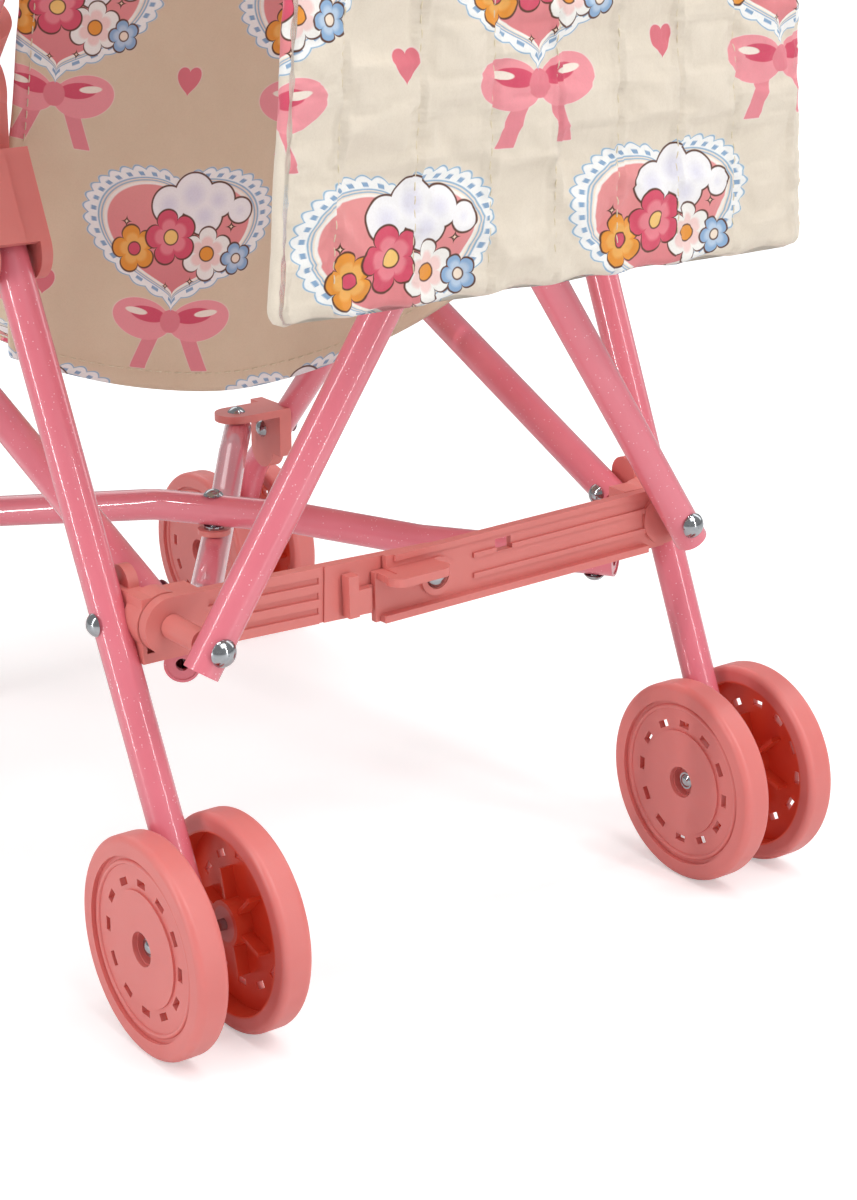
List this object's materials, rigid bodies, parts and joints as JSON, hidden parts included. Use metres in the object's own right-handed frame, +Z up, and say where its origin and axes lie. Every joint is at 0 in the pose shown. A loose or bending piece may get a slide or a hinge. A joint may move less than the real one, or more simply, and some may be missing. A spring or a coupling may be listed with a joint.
{
  "type": "doll stroller",
  "caption": "Folding doll stroller with twin side frames, scissor cross tubes, paired wheels, a cloth seat sling and a quilted rear bag.",
  "frame": {"origin": "on the floor at the middle of the bounding box", "axes": "+X to the pusher's left, +Y to the rear (the pusher's side), +Z up"},
  "size_m": [0.2758, 0.476, 0.5341],
  "materials": {
    "tube_paint": "gloss pink paint with fine sparkle",
    "plastic": "satin coral moulding",
    "wheel_plastic": "satin coral moulding",
    "grip_plastic": "soft matte coral",
    "chrome": "bright",
    "printed_cloth": "woven cotton with a small print",
    "quilted_cloth": "quilted cotton with a small print"
  },
  "bodies": {
    "left_frame": {"left_main_tube": "tube_paint", "left_grip": "grip_plastic", "left_rear_leg": "tube_paint", "left_side_bracket": "plastic", "left_seat_rail": "tube_paint", "left_corner_block": "plastic", "left_front_bracket": "plastic", "left_upper_bracket": "plastic", "left_frame_rivets": "chrome", "left_rear_axle": "chrome", "left_front_axle": "chrome", "left_scissor_pin": "chrome", "left_scissor_spacer": "plastic", "left_low_pin": "chrome", "left_tube_plugs": "plastic", "left_rail_spacer": "plastic", "seat_cloth": "printed_cloth", "backrest_cloth": "printed_cloth", "rear_bag": "quilted_cloth", "left_bag_strap": "quilted_cloth"},
    "right_frame": {"right_main_tube": "tube_paint", "right_grip": "grip_plastic", "right_rear_leg": "tube_paint", "right_side_bracket": "plastic", "right_seat_rail": "tube_paint", "right_corner_block": "plastic", "right_front_bracket": "plastic", "right_upper_bracket": "plastic", "right_frame_rivets": "chrome", "right_rear_axle": "chrome", "right_front_axle": "chrome", "right_scissor_pin": "chrome", "right_low_pin": "chrome", "right_tube_plugs": "plastic", "right_rail_spacer": "plastic", "right_bag_strap": "quilted_cloth"},
    "cross_a": {"rear_scissor_tube_a": "tube_paint", "scissor_rivets_a": "chrome"},
    "cross_b": {"rear_scissor_tube_b": "tube_paint", "scissor_rivets_b": "chrome"},
    "low_e": {"low_scissor_tube_e": "tube_paint", "low_rivets_e": "chrome", "low_washer": "plastic"},
    "low_f": {"low_scissor_tube_f": "tube_paint", "low_rivets_f": "chrome"},
    "lock_left": {"lock_bar_left": "plastic"},
    "lock_right": {"lock_bar_right": "plastic", "lock_rivet": "chrome"},
    "left_rear_outer_wheel": {"left_rear_outer_wheel": "wheel_plastic"},
    "left_rear_inner_wheel": {"left_rear_inner_wheel": "wheel_plastic"},
    "left_front_outer_wheel": {"left_front_outer_wheel": "wheel_plastic"},
    "left_front_inner_wheel": {"left_front_inner_wheel": "wheel_plastic"},
    "right_rear_outer_wheel": {"right_rear_outer_wheel": "wheel_plastic"},
    "right_rear_inner_wheel": {"right_rear_inner_wheel": "wheel_plastic"},
    "right_front_outer_wheel": {"right_front_outer_wheel": "wheel_plastic"},
    "right_front_inner_wheel": {"right_front_inner_wheel": "wheel_plastic"}
  },
  "joints": [
    {"name": "fold", "type": "slide", "parent": "left_frame", "child": "right_frame", "axis": [1, 0, 0], "range_m": [0, 0.12], "deforming": ["seat_cloth", "backrest_cloth", "rear_bag"]},
    {"name": "rear_scissor_a", "type": "hinge", "parent": "left_frame", "child": "cross_a", "pos_m": [0.105, 0.142, 0.1345], "axis": [0, 1, 0], "range_deg": [-1, 20.3]},
    {"name": "rear_scissor_b", "type": "hinge", "parent": "right_frame", "child": "cross_b", "pos_m": [-0.105, 0.129, 0.1345], "axis": [0, 1, 0], "range_deg": [-20.3, 1]},
    {"name": "low_scissor_e", "type": "hinge", "parent": "left_frame", "child": "low_e", "pos_m": [0.09, -0.1545, 0.1074], "axis": [0, 0, 1], "range_deg": [-24.8, 1]},
    {"name": "low_scissor_f", "type": "hinge", "parent": "right_frame", "child": "low_f", "pos_m": [-0.09, -0.1545, 0.1074], "axis": [0, 0, 1], "range_deg": [-1, 24.8]},
    {"name": "lock_bar_left_fold", "type": "hinge", "parent": "left_frame", "child": "lock_left", "pos_m": [0.105, 0.1144, 0.1345], "axis": [0, 1, 0], "range_deg": [-1, 66.5]},
    {"name": "lock_bar_right_fold", "type": "hinge", "parent": "right_frame", "child": "lock_right", "pos_m": [-0.105, 0.118, 0.1345], "axis": [0, 1, 0], "range_deg": [-66.5, 1]},
    {"name": "left_rear_outer_wheel_spin", "type": "hinge", "parent": "left_frame", "child": "left_rear_outer_wheel", "pos_m": [0.13175, 0.144, 0.038], "axis": [1, 0, 0], "continuous": true},
    {"name": "left_rear_inner_wheel_spin", "type": "hinge", "parent": "left_frame", "child": "left_rear_inner_wheel", "pos_m": [0.10025, 0.144, 0.038], "axis": [1, 0, 0], "continuous": true},
    {"name": "left_front_outer_wheel_spin", "type": "hinge", "parent": "left_frame", "child": "left_front_outer_wheel", "pos_m": [0.13175, -0.2, 0.038], "axis": [1, 0, 0], "continuous": true},
    {"name": "left_front_inner_wheel_spin", "type": "hinge", "parent": "left_frame", "child": "left_front_inner_wheel", "pos_m": [0.10025, -0.2, 0.038], "axis": [1, 0, 0], "continuous": true},
    {"name": "right_rear_outer_wheel_spin", "type": "hinge", "parent": "right_frame", "child": "right_rear_outer_wheel", "pos_m": [-0.13175, 0.144, 0.038], "axis": [1, 0, 0], "continuous": true},
    {"name": "right_rear_inner_wheel_spin", "type": "hinge", "parent": "right_frame", "child": "right_rear_inner_wheel", "pos_m": [-0.10025, 0.144, 0.038], "axis": [1, 0, 0], "continuous": true},
    {"name": "right_front_outer_wheel_spin", "type": "hinge", "parent": "right_frame", "child": "right_front_outer_wheel", "pos_m": [-0.13175, -0.2, 0.038], "axis": [1, 0, 0], "continuous": true},
    {"name": "right_front_inner_wheel_spin", "type": "hinge", "parent": "right_frame", "child": "right_front_inner_wheel", "pos_m": [-0.10025, -0.2, 0.038], "axis": [1, 0, 0], "continuous": true}
  ],
  "couplings": [
    {"joint": "rear_scissor_a", "follows": "fold", "rad_per_m": 2.873},
    {"joint": "rear_scissor_b", "follows": "fold", "rad_per_m": -2.873},
    {"joint": "low_scissor_e", "follows": "fold", "rad_per_m": -3.5383},
    {"joint": "low_scissor_f", "follows": "fold", "rad_per_m": 3.5383},
    {"joint": "lock_bar_left_fold", "follows": "fold", "rad_per_m": 9.5985},
    {"joint": "lock_bar_right_fold", "follows": "fold", "rad_per_m": -9.5985}
  ]
}
